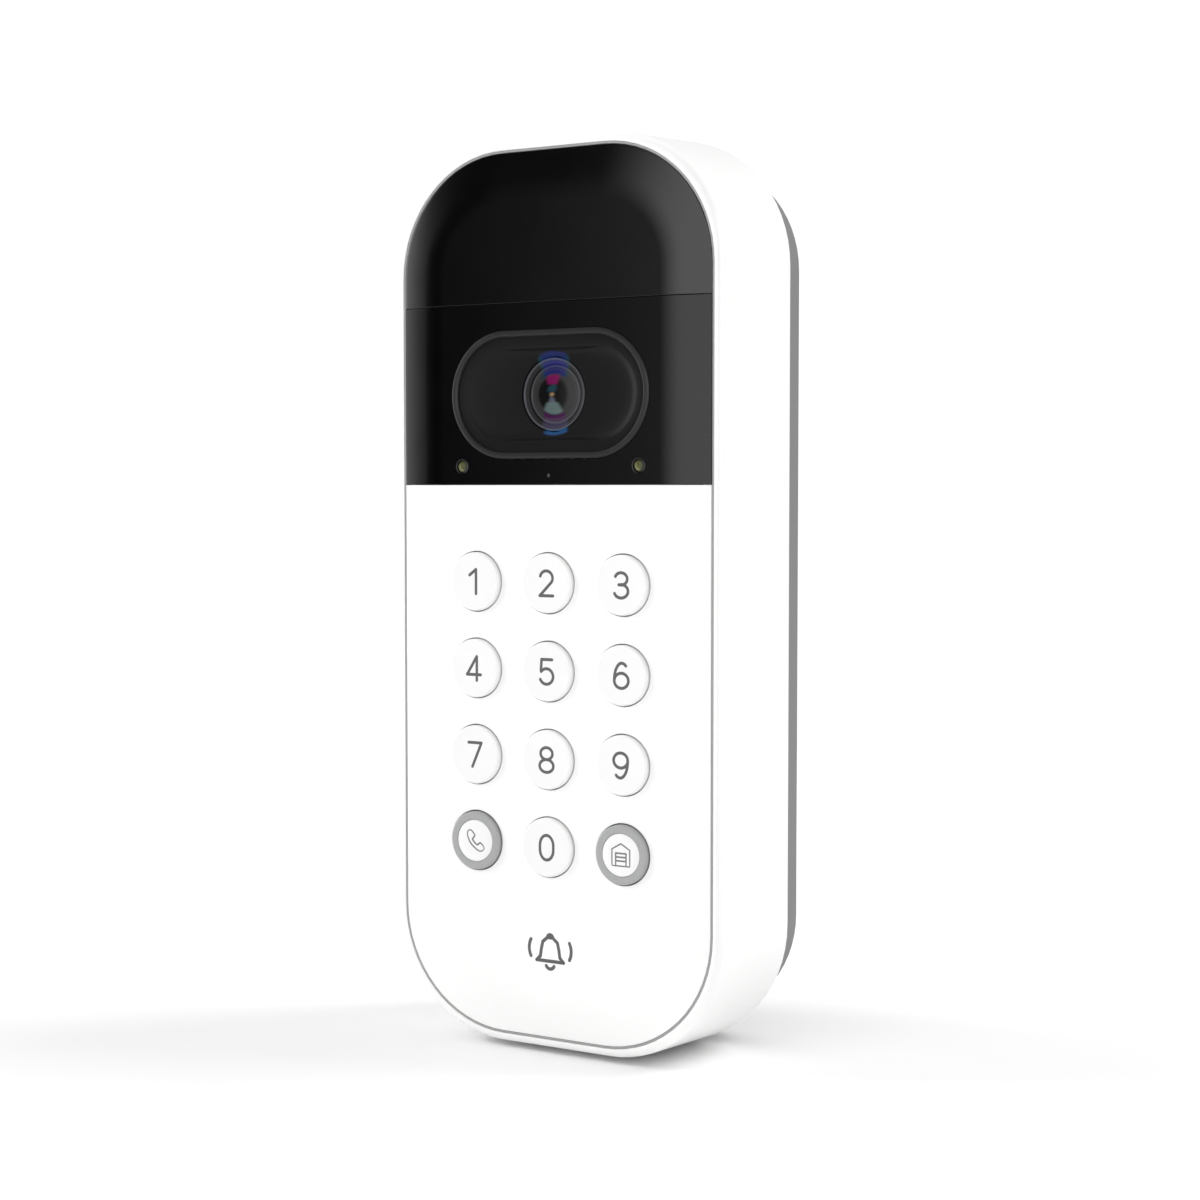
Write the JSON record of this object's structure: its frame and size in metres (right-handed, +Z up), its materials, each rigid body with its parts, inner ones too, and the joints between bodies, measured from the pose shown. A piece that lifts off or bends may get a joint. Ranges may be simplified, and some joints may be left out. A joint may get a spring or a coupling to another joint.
{
  "type": "video doorbell",
  "caption": "Upright wall-mounted video doorbell with a crowned front, a wide oval camera window, a numeric keypad with round keys, a rear battery pack and a hook-on wall bracket.",
  "frame": {"origin": "centre of the wall bracket's wall face", "axes": "+X right as a visitor sees it, +Y into the wall, +Z up"},
  "size_m": [0.0682, 0.0338, 0.1586],
  "materials": {
    "housing_white": "satin moulded plastic",
    "panel_white": "smooth satin moulded plastic",
    "key_white": "soft satin",
    "key_grey": "soft satin",
    "window_black": "high gloss, infrared-clear",
    "bezel_black": "satin",
    "camera_black": "fine matt",
    "gasket_grey": "matt",
    "seal_rubber": "matt",
    "mat_silicone": "matt, translucent",
    "clear_acrylic": "clear, polished",
    "lens_glass": "coated, polished",
    "led_phosphor": "satin",
    "bracket_grey": "fine moulded grain",
    "cover_grey": "fine moulded grain",
    "inner_black": "fine moulded grain",
    "board_green": "solder resist",
    "flex_amber": "polyimide film",
    "cell_wrap": "shrink film",
    "screw_steel": "passivated",
    "tinned_steel": "tin plated"
  },
  "bodies": {
    "bracket": {"wall_bracket": "bracket_grey", "locking_screw": "screw_steel"},
    "door_unit": {"main_housing": "housing_white", "reveal_gasket": "gasket_grey", "keypad_panel": "panel_white", "camera_window": "window_black", "sensor_window": "window_black", "inner_frame": "inner_black", "rear_cover": "cover_grey", "cover_seal": "seal_rubber", "case_screw_1": "screw_steel", "case_screw_2": "screw_steel", "case_screw_3": "screw_steel", "case_screw_4": "screw_steel", "keypad_mat": "mat_silicone", "light_guide": "clear_acrylic", "keypad_board": "board_green", "camera_bezel": "bezel_black", "camera_dish": "camera_black", "lens_barrel": "bezel_black", "lens_retaining_ring": "camera_black", "front_lens": "lens_glass", "rear_lens": "lens_glass", "lens_holder": "camera_black", "camera_board": "board_green", "image_sensor": "tinned_steel", "front_board": "board_green", "led_lens_left": "clear_acrylic", "led_chip_left": "led_phosphor", "led_lens_right": "clear_acrylic", "led_chip_right": "led_phosphor", "microphone": "tinned_steel", "pir_lens": "mat_silicone", "pir_sensor": "tinned_steel", "main_board": "board_green", "shield_can": "tinned_steel", "wifi_antenna": "flex_amber", "speaker": "inner_black", "battery_contacts": "inner_black", "camera_flex": "flex_amber"},
    "key_1_body": {"key_1": "key_white"},
    "key_2_body": {"key_2": "key_white"},
    "key_3_body": {"key_3": "key_white"},
    "key_4_body": {"key_4": "key_white"},
    "key_5_body": {"key_5": "key_white"},
    "key_6_body": {"key_6": "key_white"},
    "key_7_body": {"key_7": "key_white"},
    "key_8_body": {"key_8": "key_white"},
    "key_9_body": {"key_9": "key_white"},
    "key_0_body": {"key_0": "key_white"},
    "call_key_body": {"call_key_ring": "key_grey", "call_key_disc": "key_white"},
    "garage_key_body": {"garage_key_ring": "key_grey", "garage_key_disc": "key_white"},
    "setup_button_body": {"setup_button": "seal_rubber"},
    "battery_pack": {"battery_case": "inner_black", "battery_lid": "inner_black", "battery_cell_left": "cell_wrap", "battery_cell_right": "cell_wrap"}
  },
  "joints": [
    {"name": "lift_off", "type": "slide", "parent": "bracket", "child": "door_unit", "axis": [0, 0, 1], "range_m": [0, 0.006]},
    {"name": "battery_slide", "type": "slide", "parent": "door_unit", "child": "battery_pack", "axis": [0, 1, 0], "range_m": [0, 0.022]},
    {"name": "press_1", "type": "slide", "parent": "door_unit", "child": "key_1_body", "axis": [0, 1, 0], "range_m": [0, 0.0008], "stiffness_N_per_m": 1000, "springref_m": -0.0006},
    {"name": "press_2", "type": "slide", "parent": "door_unit", "child": "key_2_body", "axis": [0, 1, 0], "range_m": [0, 0.0008], "stiffness_N_per_m": 1000, "springref_m": -0.0006},
    {"name": "press_3", "type": "slide", "parent": "door_unit", "child": "key_3_body", "axis": [0, 1, 0], "range_m": [0, 0.0008], "stiffness_N_per_m": 1000, "springref_m": -0.0006},
    {"name": "press_4", "type": "slide", "parent": "door_unit", "child": "key_4_body", "axis": [0, 1, 0], "range_m": [0, 0.0008], "stiffness_N_per_m": 1000, "springref_m": -0.0006},
    {"name": "press_5", "type": "slide", "parent": "door_unit", "child": "key_5_body", "axis": [0, 1, 0], "range_m": [0, 0.0008], "stiffness_N_per_m": 1000, "springref_m": -0.0006},
    {"name": "press_6", "type": "slide", "parent": "door_unit", "child": "key_6_body", "axis": [0, 1, 0], "range_m": [0, 0.0008], "stiffness_N_per_m": 1000, "springref_m": -0.0006},
    {"name": "press_7", "type": "slide", "parent": "door_unit", "child": "key_7_body", "axis": [0, 1, 0], "range_m": [0, 0.0008], "stiffness_N_per_m": 1000, "springref_m": -0.0006},
    {"name": "press_8", "type": "slide", "parent": "door_unit", "child": "key_8_body", "axis": [0, 1, 0], "range_m": [0, 0.0008], "stiffness_N_per_m": 1000, "springref_m": -0.0006},
    {"name": "press_9", "type": "slide", "parent": "door_unit", "child": "key_9_body", "axis": [0, 1, 0], "range_m": [0, 0.0008], "stiffness_N_per_m": 1000, "springref_m": -0.0006},
    {"name": "press_0", "type": "slide", "parent": "door_unit", "child": "key_0_body", "axis": [0, 1, 0], "range_m": [0, 0.0008], "stiffness_N_per_m": 1000, "springref_m": -0.0006},
    {"name": "press_call", "type": "slide", "parent": "door_unit", "child": "call_key_body", "axis": [0, 1, 0], "range_m": [0, 0.0008], "stiffness_N_per_m": 1000, "springref_m": -0.0006},
    {"name": "press_garage", "type": "slide", "parent": "door_unit", "child": "garage_key_body", "axis": [0, 1, 0], "range_m": [0, 0.0008], "stiffness_N_per_m": 1000, "springref_m": -0.0006},
    {"name": "press_setup", "type": "slide", "parent": "door_unit", "child": "setup_button_body", "axis": [0, -1, 0], "range_m": [0, 0.0006], "stiffness_N_per_m": 1200, "springref_m": -0.0006}
  ]
}
